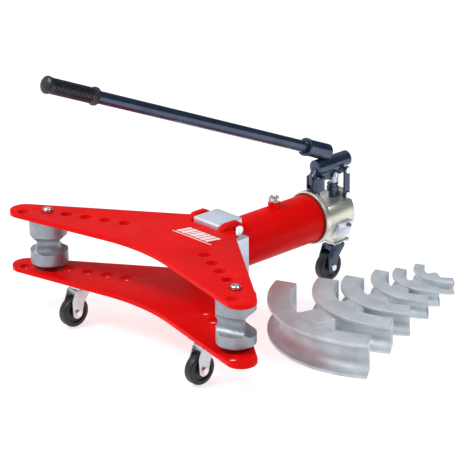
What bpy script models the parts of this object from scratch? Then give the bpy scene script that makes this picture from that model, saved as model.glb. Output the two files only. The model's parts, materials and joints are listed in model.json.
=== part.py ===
"""Hydraulic conduit bender with its six bending formers.

Frame, in millimetres until build_mesh turns them into metres: X runs along the wings,
+Y runs from the rollers back along the ram cylinder to the pump, and Z is up from the floor.
The middle of the bender is x = 0 and the roller axes lie near y = 0. The finished part is
moved so that its origin is on the floor in the middle of the whole set.
"""
import math

import bmesh
import bpy
from mathutils import Matrix, Vector

MM = 0.001
GAP = 0.3                # clearance kept between pieces that touch
FOOTPRINT_MIDDLE = Vector((25.031, 232.936, 0.0))   # becomes the origin of the finished part

# ---------------------------------------------------------------- driving dimensions
PLATE_T = 10.0           # wing plates
PLATE_GAP = 110.0        # open height between the wing plates
LOWER_Z = 92.0           # underside of the lower plate
LOWER_TOP = LOWER_Z + PLATE_T
UPPER_Z = LOWER_TOP + PLATE_GAP
UPPER_TOP = UPPER_Z + PLATE_T

TIP_X, TIP_Y, TIP_R = 323.0, -26.5, 30.5    # rounded wing tip
PIPE_EDGE_ANGLE = math.radians(12.6)        # sweep of the edge that faces the pipe
BACK_EDGE_ANGLE = math.radians(35.6)        # sweep of the edge that faces the pump
MID_ARC_R = 426.0                           # shallow arc in the middle of the pipe edge

HOLE_D = 23.0
HOLE_FIRST = (119.0, 69.0)                  # innermost roller hole of the right wing
ROLLER_XY = (281.0, 0.0)
DRUM_R = 39.0
HOLES_PER_ROW = 5
TIP_HOLE = (312.0, -38.0)

PIVOT_Y, PIVOT_Z = 216.0, 215.0             # hinge bolt of the upper plate
EAR_X0, EAR_X1, EAR_R = 39.0, 53.0, 17.0
EAR_FRONT, EAR_TOP = 176.0, PIVOT_Z + 17.0
NOTCH_HALF, NOTCH_FRONT = EAR_X1 + GAP, PIVOT_Y - 42.0

BLOCK_HALF, BLOCK_Y0, BLOCK_Y1, SHOULDER_Z = 55.0, 172.0, 247.0, 193.0
CROWN_HALF, CROWN_Y0, CROWN_Y1, CROWN_TOP = 37.5, 178.5, 246.5, 230.0

AXIS_Z = LOWER_TOP + PLATE_GAP / 2          # ram and cylinder axis
TUBE_R, TUBE_BORE_R = 51.5, 47.0
TUBE_Y0, TUBE_Y1 = BLOCK_Y1 + GAP, 467.0
RING_R, RING_Y1 = 58.0, 480.0
BARREL_R, BARREL_BORE_R = 39.0, 30.0
RAM_R, RAM_BORE_R, RAM_NOSE_Y, RAM_TAIL_Y = 23.0, 14.0, 158.0, 430.0
SPIGOT_R, SPIGOT_LENGTH = 9.0, 18.0         # end of the ram, which enters a former's seat
FILLER_Y, NECK_R, NECK_TOP = 370.0, 13.0, 219.0

PUMP_R, PUMP_Y0, PUMP_Y1, PUMP_FLAT_Z, PUMP_FOOT_Z = 50.0, RING_Y1 + GAP, 557.0, 187.0, 112.0
LARGE_Y, SMALL_Y, FULCRUM_Y = 490.0, 541.0, 562.0
FULCRUM_Z, PIN_Z, LINK_FOOT_Z = 246.0, 236.0, 190.0
BARREL_FOOT_Z, BARREL_TOP_Z, GUARD_TOP_Z = PUMP_FLAT_Z + GAP, 215.2, 243.3
LARGE_ROD_R, LARGE_ROD_FOOT_Z = 6.5, 143.5       # the rod reaches down into the block
LEVER_R, LEVER_Z, LEVER_Y0, LEVER_Y1 = 16.5, 263.0, 488.0, 582.0
WEB_HALF = 5.5

HANDLE_ANGLE = math.radians(23.2)           # rise of the handle towards the rollers
SOCKET_MOUTH = Vector((0.0, 458.0, 317.8))
HANDLE_DIR = Vector((0.0, -math.cos(HANDLE_ANGLE), math.sin(HANDLE_ANGLE)))
SOCKET_R, SOCKET_BORE_R, SOCKET_DEPTH, SOCKET_LENGTH = 18.0, 13.0, 62.0, 76.0
HANDLE_R, HANDLE_WALL, HANDLE_OUT = 12.5, 2.5, 722.0
GRIP_R, GRIP_LENGTH = 15.5, 127.0

WHEEL_R, WHEEL_HALF, TRAIL = 31.75, 10.0, 16.0
CASTERS = {"left": (-191.0, 2.0), "right": (191.0, 2.0), "rear": (0.0, 545.0)}
VALVE_FACE_X, VALVE_Y, VALVE_Z = 56.0, 531.5, 141.0

# name: pipe outside diameter, outer radius, radial width, height, reach of the seat block inwards,
# centre of the arc (x, y), and the angles where the arc starts and ends, in degrees
FORMERS = {
    "former_2_inch": (60.3, 234.0, 46.0, 74.0, 60.0, (266.0, 418.0), (-54.0, -157.0)),
    "former_1_1-2_inch": (48.3, 184.0, 46.0, 60.0, 33.0, (247.0, 494.0), (-54.0, -157.0)),
    "former_1_1-4_inch": (42.4, 141.0, 42.0, 52.0, 36.0, (227.0, 537.0), (-46.0, -158.0)),
    "former_1_inch": (33.7, 118.0, 32.0, 42.0, 30.0, (212.0, 609.0), (-46.0, -160.0)),
    "former_3-4_inch": (26.9, 90.0, 26.0, 36.0, 23.0, (199.0, 648.0), (-41.0, -160.0)),
    "former_1-2_inch": (21.3, 72.0, 22.0, 31.0, 19.0, (187.0, 700.0), (-35.0, -158.0)),
}
SEAT_WIDTH = 0.28                            # of the former's outer radius

# saddles of each roller: direction in degrees, radius, distance from the roller axis to its middle
SADDLES = {
    "roller_left": ((47.0, 17.0, 38.0), (317.0, 18.0, 39.0), (227.0, 16.0, 38.0), (137.0, 28.0, 41.0)),
    "roller_right": ((47.0, 24.0, 35.0), (289.0, 20.0, 38.0), (165.0, 26.0, 41.0)),
}
BOSS_HEIGHT = 9.0                            # under each roller's drum

LOOKS = {                # colour, roughness, metallic
    "red_paint": ((0.72, 0.012, 0.01), 0.3, 0.0),
    "machined_steel": ((0.62, 0.66, 0.72), 0.35, 1.0),
    "cast_steel": ((0.45, 0.47, 0.49), 0.5, 0.9),
    "zinc_plate": ((0.6, 0.59, 0.47), 0.35, 0.9),
    "chrome": ((0.8, 0.8, 0.8), 0.1, 1.0),
    "black_paint": ((0.015, 0.02, 0.035), 0.3, 0.0),
    "black_rubber": ((0.02, 0.02, 0.022), 0.6, 0.0),
    "spring_steel": ((0.2, 0.2, 0.21), 0.4, 1.0),
}


# ---------------------------------------------------------------- helpers
def clear_scene():
    for item in list(bpy.data.objects):
        bpy.data.objects.remove(item, do_unlink=True)


def look(name):
    """The named Principled material, made on first use."""
    material = bpy.data.materials.get(name)
    if material is None:
        colour, roughness, metallic = LOOKS[name]
        material = bpy.data.materials.new(name)
        material.use_nodes = True
        shader = material.node_tree.nodes["Principled BSDF"]
        shader.inputs["Base Color"].default_value = (*colour, 1.0)
        shader.inputs["Roughness"].default_value = roughness
        shader.inputs["Metallic"].default_value = metallic
    return material


def empty(name, place):
    """A body's frame, on its joint's axis."""
    frame = bpy.data.objects.new(name, None)
    frame.location = (Vector(place) - FOOTPRINT_MIDDLE) * MM
    bpy.context.collection.objects.link(frame)
    return frame


def make(name, mesh, finish, body=None):
    """Link a mesh, given in millimetres and world places, as one object under its body's empty."""
    bmesh.ops.recalc_face_normals(mesh, faces=mesh.faces)
    bmesh.ops.translate(mesh, vec=-FOOTPRINT_MIDDLE, verts=mesh.verts)
    bmesh.ops.scale(mesh, vec=(MM, MM, MM), verts=mesh.verts)
    place = body.location.copy() if body else Vector((0.0, 0.0, 0.0))
    bmesh.ops.translate(mesh, vec=-place, verts=mesh.verts)
    data = bpy.data.meshes.new(name)
    mesh.to_mesh(data)
    mesh.free()
    data.shade_smooth()
    data.set_sharp_from_angle(angle=math.radians(35.0))
    data.materials.append(look(finish))
    item = bpy.data.objects.new(name, data)
    bpy.context.collection.objects.link(item)
    item.parent = body
    return item


def cut(item, mesh, operation="DIFFERENCE"):
    """Take a mesh away from an object, or unite it, with an exact Boolean."""
    tool = make(item.name + "_tool", mesh, "machined_steel", item.parent)
    tool.hide_render = True
    tool.display_type = "WIRE"
    modifier = item.modifiers.new("shape", "BOOLEAN")
    modifier.operation = operation
    modifier.object = tool


def join(item, mesh):
    cut(item, mesh, "UNION")


def box(x0, x1, y0, y1, z0, z1):
    mesh = bmesh.new()
    bmesh.ops.create_cube(mesh, size=1.0)
    middle = Vector(((x0 + x1) / 2, (y0 + y1) / 2, (z0 + z1) / 2))
    bmesh.ops.scale(mesh, vec=(x1 - x0, y1 - y0, z1 - z0), verts=mesh.verts)
    bmesh.ops.translate(mesh, vec=middle, verts=mesh.verts)
    return mesh


def extruded(outline, start, end, axis="Z"):
    """A flat outline pushed from start to end along an axis.

    The outline is (x, y) for a push along Z, (x, z) along Y and (y, z) along X.
    """
    mesh = bmesh.new()
    if axis == "Z":
        points = [Vector((a, b, start)) for a, b in outline]
        push = Vector((0.0, 0.0, end - start))
    elif axis == "Y":
        points = [Vector((a, start, b)) for a, b in outline]
        push = Vector((0.0, end - start, 0.0))
    else:
        points = [Vector((start, a, b)) for a, b in outline]
        push = Vector((end - start, 0.0, 0.0))
    face = mesh.faces.new([mesh.verts.new(point) for point in points])
    top = bmesh.ops.extrude_face_region(mesh, geom=[face])
    moved = [part for part in top["geom"] if isinstance(part, bmesh.types.BMVert)]
    bmesh.ops.translate(mesh, vec=push, verts=moved)
    return mesh


def turned(profile, foot, axis, steps=24):
    """A solid of revolution: (radius, distance along the axis) pairs, from foot along axis.

    A closed profile off the axis makes a tube. A profile that starts and ends on the axis is solid.
    """
    turn = Vector((0.0, 0.0, 1.0)).rotation_difference(Vector(axis)).to_matrix()
    mesh = bmesh.new()
    rings = []
    for radius, along in profile:
        if radius == 0.0:
            rings.append([mesh.verts.new(Vector(foot) + turn @ Vector((0.0, 0.0, along)))])
            continue
        ring = []
        for step in range(steps):
            angle = 2 * math.pi * step / steps
            local = Vector((radius * math.cos(angle), radius * math.sin(angle), along))
            ring.append(mesh.verts.new(Vector(foot) + turn @ local))
        rings.append(ring)
    pairs = list(zip(rings, rings[1:]))
    if len(rings[0]) > 1:
        pairs.append((rings[-1], rings[0]))
    for first, second in pairs:
        for step in range(steps):
            after = (step + 1) % steps
            corners = [first[step % len(first)], first[after % len(first)],
                       second[after % len(second)], second[step % len(second)]]
            mesh.faces.new(list(dict.fromkeys(corners)))
    return mesh


def rod(radius, foot, axis, length, steps=24):
    return turned([(0.0, 0.0), (radius, 0.0), (radius, length), (0.0, length)], foot, axis, steps)


def tube(outer, inner, foot, axis, length, steps=24):
    return turned([(outer, 0.0), (outer, length), (inner, length), (inner, 0.0)], foot, axis, steps)


def arc(centre, radius, start, end, steps):
    """Points round a circle, both ends included; angles in radians."""
    angles = [start + (end - start) * step / steps for step in range(steps + 1)]
    return [(centre[0] + radius * math.cos(a), centre[1] + radius * math.sin(a)) for a in angles]


def mirrored(points):
    """A right-hand half outline closed with its mirror image, dropping doubled points on x = 0."""
    left = [(-x, y) for x, y in reversed(points) if abs(x) > 1e-6]
    return points + left


def slot_outline(centre, half_length, radius):
    """An obround in (y, z), long along Y."""
    y, z = centre
    right = arc((y + half_length, z), radius, -math.pi / 2, math.pi / 2, 8)
    left = arc((y - half_length, z), radius, math.pi / 2, 3 * math.pi / 2, 8)
    return right + left


# ---------------------------------------------------------------- wing plates
def back_edge_y(x):
    """The straight back edge, tangent to the tip's circle."""
    touch = (TIP_X + TIP_R * math.sin(BACK_EDGE_ANGLE), TIP_Y + TIP_R * math.cos(BACK_EDGE_ANGLE))
    return touch[1] + math.tan(BACK_EDGE_ANGLE) * (touch[0] - x)


def wing_half():
    """The right half of the pipe edge and the tip, from the middle round to the back edge."""
    centre_y = TIP_Y - (TIP_R + MID_ARC_R) / math.cos(PIPE_EDGE_ANGLE) + TIP_X * math.tan(PIPE_EDGE_ANGLE)
    middle = arc((0.0, centre_y), MID_ARC_R, math.pi / 2, math.pi / 2 - PIPE_EDGE_ANGLE, 6)
    tip = arc((TIP_X, TIP_Y), TIP_R, -math.pi / 2 - PIPE_EDGE_ANGLE, math.pi / 2 - BACK_EDGE_ANGLE, 12)
    return middle + tip


def roller_holes():
    """Hole centres of the right wing: an even row that ends at the roller, and one in the tip."""
    last = HOLES_PER_ROW - 1
    row = []
    for step in range(HOLES_PER_ROW):
        share = step / last
        row.append((HOLE_FIRST[0] + (ROLLER_XY[0] - HOLE_FIRST[0]) * share,
                    HOLE_FIRST[1] + (ROLLER_XY[1] - HOLE_FIRST[1]) * share))
    return row + [TIP_HOLE]


def drill_wing(plate):
    for side in (-1, 1):
        for x, y in roller_holes():
            hole = rod(HOLE_D / 2, (side * x, y, LOWER_Z - 5), (0, 0, 1), UPPER_TOP - LOWER_Z + 10, 12)
            cut(plate, hole)


def make_plates(hinge):
    waist = BLOCK_HALF + 3.0
    lower = mirrored(wing_half() + [(waist, back_edge_y(waist)), (waist, BLOCK_Y1 - 8.0),
                                    (waist - 8.0, BLOCK_Y1)])
    drill_wing(make("lower_wing_plate", extruded(lower, LOWER_Z, LOWER_TOP), "red_paint"))
    upper = mirrored(wing_half() + [(NOTCH_HALF, back_edge_y(NOTCH_HALF)), (NOTCH_HALF, EAR_FRONT - GAP),
                                    (EAR_X0, EAR_FRONT - GAP), (EAR_X0, NOTCH_FRONT)])
    drill_wing(make("upper_wing_plate", extruded(upper, UPPER_Z, UPPER_TOP), "red_paint", hinge))


def make_ears(hinge):
    """Two lugs welded into the upper plate's notch, which turn on the hinge bolt."""
    foot = PIVOT_Z - EAR_R
    outline = [(EAR_FRONT, foot), *arc((PIVOT_Y, PIVOT_Z), EAR_R, -math.pi / 2, math.pi / 2, 14),
               (EAR_FRONT + 14.0, EAR_TOP), (EAR_FRONT, UPPER_TOP)]
    for name, side in (("hinge_ear_left", -1), ("hinge_ear_right", 1)):
        ear = make(name, extruded(outline, side * EAR_X0, side * EAR_X1, "X"), "red_paint", hinge)
        cut(ear, rod(8.4, (side * (EAR_X0 - 5), PIVOT_Y, PIVOT_Z), (side, 0, 0), 30))


# ---------------------------------------------------------------- head block and hinge bolt
def make_head_block():
    block = make("head_block", box(-BLOCK_HALF, BLOCK_HALF, BLOCK_Y0, BLOCK_Y1, LOWER_TOP + GAP, SHOULDER_Z),
                 "machined_steel")
    join(block, box(-CROWN_HALF, CROWN_HALF, CROWN_Y0, CROWN_Y1, SHOULDER_Z - 10, CROWN_TOP))
    cut(block, rod(RAM_R + 0.5, (0, BLOCK_Y0 - 10, AXIS_Z), (0, 1, 0), 120, 32))
    cut(block, rod(8.3, (-70, PIVOT_Y, PIVOT_Z), (1, 0, 0), 140))
    for name, x in (("block_bolt_left", -38.0), ("block_bolt_right", 38.0)):
        head = turned([(0, 0), (9, 0), (9, 8), (0, 8)], (x, 196.0, LOWER_Z - GAP - 8), (0, 0, 1), 6)
        make(name, head, "chrome")


def make_hinge_bolt():
    """One long bolt held by its own hex head and nut, outside the ears."""
    length = 2 * (EAR_X1 + GAP)
    shank = turned([(0, -7), (10.5, -7), (10.5, 0), (8, 0), (8, length + 9), (0, length + 9)],
                   (EAR_X1 + GAP, PIVOT_Y, PIVOT_Z), (-1, 0, 0))
    make("hinge_bolt", shank, "chrome")
    nut = make("hinge_nut", rod(12.0, (-EAR_X1 - GAP, PIVOT_Y, PIVOT_Z), (-1, 0, 0), 8, 6), "chrome")
    cut(nut, rod(8.3, (0, PIVOT_Y, PIVOT_Z), (-1, 0, 0), 90))


# ---------------------------------------------------------------- cylinder and ram
def make_cylinder(plug_body, ram_body):
    shell = make("cylinder_tube",
                 tube(TUBE_R, TUBE_BORE_R, (0, TUBE_Y0, AXIS_Z), (0, 1, 0), TUBE_Y1 - TUBE_Y0, 40), "red_paint")
    neck_foot = AXIS_Z + TUBE_BORE_R + 2
    join(shell, rod(NECK_R, (0, FILLER_Y, neck_foot), (0, 0, 1), NECK_TOP - neck_foot))
    cut(shell, rod(6.5, (0, FILLER_Y, AXIS_Z + 30), (0, 0, 1), 50, 16))

    plug = [(0, -16), (6, -16), (6, GAP), (9, GAP), (11, 2), (11, 11), (9.5, 13), (0, 13)]
    make("filler_plug", turned(plug, (0, FILLER_Y, NECK_TOP), (0, 0, 1), 20), "chrome", plug_body)

    make("cylinder_flange", tube(RING_R, BARREL_BORE_R, (0, TUBE_Y1 + GAP, AXIS_Z), (0, 1, 0),
                                 RING_Y1 - TUBE_Y1 - GAP, 40), "zinc_plate")
    make("inner_barrel", tube(BARREL_R, BARREL_BORE_R, (0, TUBE_Y0, AXIS_Z), (0, 1, 0),
                              TUBE_Y1 - TUBE_Y0, 28), "machined_steel")

    length = RAM_TAIL_Y - RAM_NOSE_Y
    ram = [(0, 0), (RAM_R - 2, 0), (RAM_R, 2), (RAM_R, length), (RAM_BORE_R, length), (RAM_BORE_R, 16), (0, 16)]
    make("ram", turned(ram, (0, RAM_NOSE_Y, AXIS_Z), (0, 1, 0), 32), "chrome", ram_body)
    shoulder = SPIGOT_LENGTH
    nose = [(0, 0), (SPIGOT_R - 1, 0), (SPIGOT_R, 1), (SPIGOT_R, shoulder), (16, shoulder), (16, shoulder + 6),
            (0, shoulder + 6)]
    make("ram_nose", turned(nose, (0, RAM_NOSE_Y - GAP - shoulder - 6, AXIS_Z), (0, 1, 0), 20),
         "machined_steel", ram_body)
    piston = [(RAM_BORE_R, 0), (29.4, 0), (29.4, 8), (26, 8), (26, 14), (29.4, 14), (29.4, 22), (RAM_BORE_R, 22)]
    make("ram_piston", turned(piston, (0, RAM_TAIL_Y + GAP, AXIS_Z), (0, 1, 0), 24), "machined_steel", ram_body)
    make("piston_seal", tube(29.7, 26.3, (0, RAM_TAIL_Y + GAP + 8.3, AXIS_Z), (0, 1, 0), 5.4, 24),
         "black_rubber", ram_body)
    make_return_spring()


def make_return_spring():
    """A tension spring inside the hollow ram: one wire along a helix, closed at both ends."""
    turns, per_turn, sides = 9, 8, 4
    coil_r, wire_r, y0, y1 = 10.0, 1.5, RAM_NOSE_Y + 20.0, RING_Y1 - 4.0
    mesh = bmesh.new()
    rings = []
    total = turns * per_turn
    for step in range(total + 1):
        angle = 2 * math.pi * step / per_turn
        outward = Vector((math.cos(angle), 0.0, math.sin(angle)))
        centre = Vector((0.0, y0 + (y1 - y0) * step / total, AXIS_Z)) + outward * coil_r
        ring = []
        for side in range(sides):
            around = 2 * math.pi * side / sides
            ring.append(mesh.verts.new(centre + outward * wire_r * math.cos(around)
                                       + Vector((0.0, wire_r * math.sin(around), 0.0))))
        rings.append(ring)
    for first, second in zip(rings, rings[1:]):
        for side in range(sides):
            after = (side + 1) % sides
            mesh.faces.new([first[side], first[after], second[after], second[side]])
    mesh.faces.new(rings[0])
    mesh.faces.new(rings[-1])
    make("return_spring", mesh, "spring_steel")


# ---------------------------------------------------------------- pump
def make_pump_block():
    """A round block with a flat top, a lug for the links at the rear and the large pump's bore."""
    angle = math.asin((PUMP_FLAT_Z - AXIS_Z) / PUMP_R)
    foot = math.asin((PUMP_FOOT_Z - AXIS_Z) / PUMP_R)
    side = arc((0.0, AXIS_Z), PUMP_R, foot, angle, 14)
    outline = side + [(-x, z) for x, z in reversed(side)]
    block = make("pump_block", extruded(outline, PUMP_Y0, PUMP_Y1, "Y"), "zinc_plate")
    cut(block, box(-30, 30, FULCRUM_Y - 9.5, PUMP_Y1 + 20, LINK_FOOT_Z - 9, 220))
    join(block, box(-17.2, 17.2, FULCRUM_Y - 11.5, FULCRUM_Y + 9, LINK_FOOT_Z - 15, LINK_FOOT_Z + 9))
    cut(block, rod(5.4, (-60, FULCRUM_Y, LINK_FOOT_Z), (1, 0, 0), 120, 16))
    cut(block, rod(LARGE_ROD_R + GAP, (0, LARGE_Y, LARGE_ROD_FOOT_Z - 1.5), (0, 0, 1), 60, 20))
    make("rear_caster_pad", box(-24, 24, 521, 557, LOWER_Z, PUMP_FOOT_Z - GAP), "zinc_plate")


def make_release_valve(screw_body):
    outline = [(40, 150), (VALVE_FACE_X, 147), (VALVE_FACE_X, 135), (46, 112), (36, 112)]
    housing = make("release_valve_housing", extruded(outline, 505, 545, "Y"), "machined_steel")
    cut(housing, rod(PUMP_R + GAP + 0.4, (0, PUMP_Y0, AXIS_Z), (0, 1, 0), 200, 48))
    screw = [(0, 0), (4.5, 0), (4.5, 4.5), (3.7, 5.3), (2.2, 5.3), (2.2, 2.5), (0, 2.5)]
    make("release_valve_screw", turned(screw, (VALVE_FACE_X + GAP, VALVE_Y, VALVE_Z), (1, 0, 0), 16),
         "spring_steel", screw_body)


def make_pumps(large_body, small_body):
    make("large_pump_barrel", tube(9.5, LARGE_ROD_R + GAP, (0, LARGE_Y, BARREL_FOOT_Z), (0, 0, 1),
                                   BARREL_TOP_Z - BARREL_FOOT_Z), "black_paint")
    cup_foot = BARREL_TOP_Z + GAP
    rim = GUARD_TOP_Z - cup_foot
    cup = [(19.3, 0), (19.3, rim), (16, rim), (16, 2.7), (LARGE_ROD_R + GAP, 2.7),
           (LARGE_ROD_R + GAP, 0)]
    guard = make("large_pump_guard", turned(cup, (0, LARGE_Y, cup_foot), (0, 0, 1), 32), "black_paint")
    cut(guard, box(-7.5, 7.5, LARGE_Y - 30, LARGE_Y + 30, cup_foot + 6, 260))

    make("small_pump_barrel", tube(9, 5.4, (0, SMALL_Y, BARREL_FOOT_Z), (0, 0, 1), 12), "black_paint")
    make("small_pump_gland_nut", tube(13.2, 5.4, (0, SMALL_Y, BARREL_FOOT_Z + 12 + GAP), (0, 0, 1), 18, 12),
         "black_paint")

    plungers = (("large_plunger", LARGE_Y, LARGE_ROD_R, LARGE_ROD_FOOT_Z, 17.5, large_body),
                ("small_plunger", SMALL_Y, 5.0, BARREL_FOOT_Z + 1, 15.5, small_body))
    for name, y, radius, shaft_foot, fork_depth, body in plungers:
        fork_foot = PIN_Z - fork_depth
        shaft = rod(radius, (0, y, shaft_foot), (0, 0, 1), fork_foot + 2 - shaft_foot)
        plunger = make(name, shaft, "machined_steel", body)
        outline = [(y - 7, fork_foot), (y + 7, fork_foot), *arc((y, PIN_Z), 7, 0, math.pi, 8)]
        join(plunger, extruded(outline, -11, 11, "X"))
        cut(plunger, box(-6.5, 6.5, y - 20, y + 20, fork_foot + 4.5, PIN_Z + 30))
        cut(plunger, rod(4.3, (-20, y, PIN_Z), (1, 0, 0), 40, 16))
        pin = rod(4, (-13.0, y, PIN_Z), (1, 0, 0), 26, 16)
        make(name + "_pin", pin, "chrome", body)


def make_lever(lever_body):
    lever = make("pump_lever", rod(LEVER_R, (0, LEVER_Y0, LEVER_Z), (0, 1, 0), LEVER_Y1 - LEVER_Y0, 32),
                 "black_paint", lever_body)
    web = [(LARGE_Y - 15, PIN_Z - 7.5), (FULCRUM_Y + 9, PIN_Z - 1), (FULCRUM_Y + 9, LEVER_Z),
           (LARGE_Y - 3, LEVER_Z), (LARGE_Y - 15, LEVER_Z - 14)]
    join(lever, extruded(web, -WEB_HALF, WEB_HALF, "X"))
    cut(lever, extruded(slot_outline((LARGE_Y - 3.6, PIN_Z), 4.2, 5.7), -20, 20, "X"))
    cut(lever, extruded(slot_outline((SMALL_Y + 1.0, PIN_Z + 0.5), 1.3, 5.0), -20, 20, "X"))
    cut(lever, rod(5.5, (-40, FULCRUM_Y, FULCRUM_Z), (1, 0, 0), 80, 16))

    foot = SOCKET_MOUTH - HANDLE_DIR * SOCKET_LENGTH
    rim = SOCKET_LENGTH
    cup = [(0, 0), (SOCKET_R - 5, 0), (SOCKET_R, 6), (SOCKET_R, rim - 7), (SOCKET_R + 1.2, rim - 7),
           (SOCKET_R + 1.2, rim), (SOCKET_BORE_R, rim), (SOCKET_BORE_R, rim - SOCKET_DEPTH),
           (0, rim - SOCKET_DEPTH)]
    socket = make("handle_socket", turned(cup, foot, HANDLE_DIR, 24), "black_paint", lever_body)
    cut(socket, rod(LEVER_R + GAP, (0, LEVER_Y0 - 100, LEVER_Z), (0, 1, 0), 300, 32))


def make_link():
    """Two link plates and their pins, which carry the lever's fulcrum."""
    head = arc((FULCRUM_Y, FULCRUM_Z), 8, 0, math.pi, 10)
    outline = head + arc((FULCRUM_Y, LINK_FOOT_Z), 8, math.pi, 2 * math.pi, 10)
    for name, side in (("link_plate_left", -1), ("link_plate_right", 1)):
        plate = make(name, extruded(outline, side * 18, side * 23, "X"), "black_paint")
        for z in (FULCRUM_Z, LINK_FOOT_Z):
            cut(plate, rod(5.3, (side * 10, FULCRUM_Y, z), (side, 0, 0), 30, 16))
    for name, z in (("fulcrum_pin", FULCRUM_Z), ("link_foot_pin", LINK_FOOT_Z)):
        pin = [(0, 0), (7, 0), (7, 3.5), (5, 3.5), (5, 52), (0, 52)]
        make(name, turned(pin, (23 + GAP + 3.5, FULCRUM_Y, z), (-1, 0, 0), 16), "chrome")


def make_handle(handle_body):
    inserted = SOCKET_DEPTH - 2.0
    foot = SOCKET_MOUTH - HANDLE_DIR * inserted
    length = inserted + HANDLE_OUT
    make("handle_tube", tube(HANDLE_R, HANDLE_R - HANDLE_WALL, foot, HANDLE_DIR, length, 24),
         "black_paint", handle_body)
    mouth = SOCKET_MOUTH + HANDLE_DIR * (HANDLE_OUT + 4.0 - GRIP_LENGTH)
    inside = HANDLE_R + GAP
    cap = GRIP_LENGTH - 3.4
    grip = [(0, GRIP_LENGTH), (GRIP_R, GRIP_LENGTH), (GRIP_R + 1.5, GRIP_LENGTH - 1.5),
            (GRIP_R + 1.5, GRIP_LENGTH - 6), (GRIP_R, GRIP_LENGTH - 8), (GRIP_R, 8), (GRIP_R + 2.5, 5),
            (GRIP_R + 2.5, 0), (inside, 0), (inside, cap), (0, cap)]
    make("handle_grip", turned(grip, mouth, HANDLE_DIR, 24), "black_rubber", handle_body)


# ---------------------------------------------------------------- rollers
def make_roller(name, side, spin):
    """A forged saddle block: a drum with pipe saddles round it, turning on its own trunnions."""
    x, y = side * ROLLER_XY[0], ROLLER_XY[1]
    foot, top = LOWER_TOP + 1.0, UPPER_Z - 1.0
    drum_foot = foot + BOSS_HEIGHT
    profile = [(0, LOWER_Z + 1), (9.5, LOWER_Z + 1), (9.5, foot), (16, foot), (16, drum_foot),
               (DRUM_R - 3, drum_foot), (DRUM_R, drum_foot + 3), (DRUM_R, top - 3), (DRUM_R - 3, top),
               (9.5, top), (9.5, UPPER_TOP + 5.5), (8, UPPER_TOP + 7), (0, UPPER_TOP + 7)]
    roller = make(name, turned(profile, (x, y, 0), (0, 0, 1), 24), "cast_steel", spin)
    for degrees, saddle, reach in SADDLES[name]:
        turn = math.radians(degrees)
        outward = Vector((math.cos(turn), math.sin(turn), 0.0))
        along = Vector((-outward.y, outward.x, 0.0))
        start = Vector((x, y, AXIS_Z)) + outward * reach - along * 60.0
        cut(roller, rod(saddle, start, along, 120, 16))


# ---------------------------------------------------------------- casters
def make_caster(place, x, y, swivel, spin):
    pad = make("caster_plate_" + place, box(x - 26, x + 26, y - 24, y + 24, 88.7, LOWER_Z - GAP),
               "machined_steel")
    join(pad, rod(19, (x, y, 80.3), (0, 0, 1), 9))

    axle_y, crown = y - TRAIL, 80.0
    outline = [(y + 19, crown), (y - 19, crown), (axle_y - 13, 56),
               *arc((axle_y, WHEEL_R), 12, math.pi, 2 * math.pi, 8), (y + 1, 52), (y + 19, 73)]
    fork = make("caster_fork_" + place, extruded(outline, x - 15, x + 15, "X"),
                "black_paint" if place == "rear" else "machined_steel", swivel)
    cut(fork, box(x - 12, x + 12, y - 80, y + 60, 0, crown - 3))
    cut(fork, rod(4.3, (x - 30, axle_y, WHEEL_R), (1, 0, 0), 60, 16))

    axle = [(0, 0), (7, 0), (7, 4), (4, 4), (4, 40), (0, 40)]
    make("caster_axle_" + place, turned(axle, (x + 15 + GAP + 4, axle_y, WHEEL_R), (-1, 0, 0), 12),
         "chrome", swivel)

    half = WHEEL_HALF
    tread = [(4.4, -half), (22, -half + 2), (22, -half), (29, -half), (WHEEL_R, -half + 3), (WHEEL_R, half - 3),
             (29, half), (22, half), (22, half - 2), (4.4, half)]
    make("caster_wheel_" + place, turned(tread, (x, axle_y, WHEEL_R), (1, 0, 0), 20), "black_rubber", spin)


# ---------------------------------------------------------------- formers
def make_former(name, lift, centre):
    """An arc of casting with a half-round groove outside and a seat for the ram inside."""
    pipe, outer, width, height, reach, _, ends = FORMERS[name]
    first_angle, last_angle = math.radians(ends[0]), math.radians(ends[1])
    groove = pipe / 2
    section = [(outer, height), *arc((outer, height / 2), groove, math.pi / 2, 3 * math.pi / 2, 8),
               (outer, 0.0), (outer - width, 0.0), (outer - width, height)]
    steps = 14
    mesh = bmesh.new()
    rings = []
    for step in range(steps + 1):
        angle = first_angle + (last_angle - first_angle) * step / steps
        rings.append([mesh.verts.new((centre[0] + r * math.cos(angle), centre[1] + r * math.sin(angle), z))
                      for r, z in section])
    count = len(section)
    for first, second in zip(rings, rings[1:]):
        for side in range(count):
            after = (side + 1) % count
            mesh.faces.new([first[side], first[after], second[after], second[side]])
    mesh.faces.new(rings[0])
    mesh.faces.new(rings[-1])
    former = make(name, mesh, "cast_steel", lift)

    middle = (first_angle + last_angle) / 2
    half = SEAT_WIDTH * outer / 2
    inner = outer - width
    mouth = inner - reach
    block = box(mouth, inner + 4, -half, half, 0.12 * height, 0.88 * height)
    socket = rod(SPIGOT_R + 0.4, (mouth - 10, 0, height / 2), (1, 0, 0), SPIGOT_LENGTH + 12, 16)
    for part in (block, socket):
        bmesh.ops.rotate(part, verts=part.verts, cent=(0, 0, 0), matrix=Matrix.Rotation(middle, 3, "Z"))
        bmesh.ops.translate(part, verts=part.verts, vec=(*centre, 0.0))
    join(former, block)
    cut(former, socket)


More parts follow.
